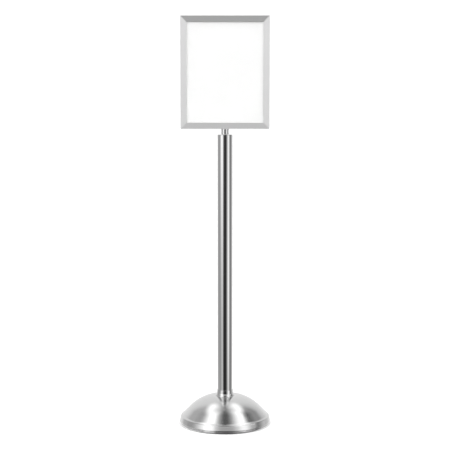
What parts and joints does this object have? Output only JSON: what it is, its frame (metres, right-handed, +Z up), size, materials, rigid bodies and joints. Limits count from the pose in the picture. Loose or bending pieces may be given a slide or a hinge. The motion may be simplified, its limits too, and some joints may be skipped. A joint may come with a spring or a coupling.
{
  "type": "sign stand",
  "caption": "Free-standing sign stand: a slide-in portrait frame that turns on a round post with a weighted domed base.",
  "frame": {"origin": "on the floor, on the axis of the post and base", "axes": "+Z up along the post, -Y out of the sign's front, +X to the viewer's right"},
  "size_m": [0.3048, 0.3048, 1.3656],
  "materials": {
    "brushed_stainless": "satin brushed",
    "turned_steel": "turned",
    "cast_iron": "as cast, black painted",
    "black_rubber": "moulded",
    "zinc_plated_steel": "zinc plated",
    "white_nylon": "moulded",
    "satin_aluminium": "satin brushed along its length",
    "clear_acrylic": "clear, polished",
    "white_card": "matt coated card"
  },
  "bodies": {
    "stand": {"base_cover": "brushed_stainless", "base_weight": "cast_iron", "floor_ring": "black_rubber", "base_bolt": "zinc_plated_steel", "base_washer": "zinc_plated_steel", "base_lock_washer": "zinc_plated_steel", "post_bottom_plug": "zinc_plated_steel", "post_tube": "brushed_stainless", "post_collar": "brushed_stainless", "post_top_cap": "brushed_stainless", "stem_stud": "zinc_plated_steel", "swivel_washer": "white_nylon"},
    "sign_head": {"sign_stem": "turned_steel", "stem_plate": "zinc_plated_steel", "rail_left": "satin_aluminium", "rail_right": "satin_aluminium", "rail_top": "satin_aluminium", "rail_bottom": "satin_aluminium", "corner_key_bottom_left": "zinc_plated_steel", "corner_key_bottom_right": "zinc_plated_steel", "corner_key_top_left": "zinc_plated_steel", "corner_key_top_right": "zinc_plated_steel", "corner_screws": "zinc_plated_steel"},
    "lens_front": {"front_lens": "clear_acrylic"},
    "sign": {"sign_sheet": "white_card"},
    "lens_back": {"back_lens": "clear_acrylic"}
  },
  "joints": [
    {"name": "head_swivel", "type": "hinge", "parent": "stand", "child": "sign_head", "pos_m": [0, 0, 0.985], "axis": [0, 0, 1], "continuous": true},
    {"name": "front_lens_lift", "type": "slide", "parent": "sign_head", "child": "lens_front", "axis": [0, 0, 1], "range_m": [0, 0.365]},
    {"name": "sign_lift", "type": "slide", "parent": "sign_head", "child": "sign", "axis": [0, 0, 1], "range_m": [0, 0.365]},
    {"name": "back_lens_lift", "type": "slide", "parent": "sign_head", "child": "lens_back", "axis": [0, 0, 1], "range_m": [0, 0.365]}
  ]
}
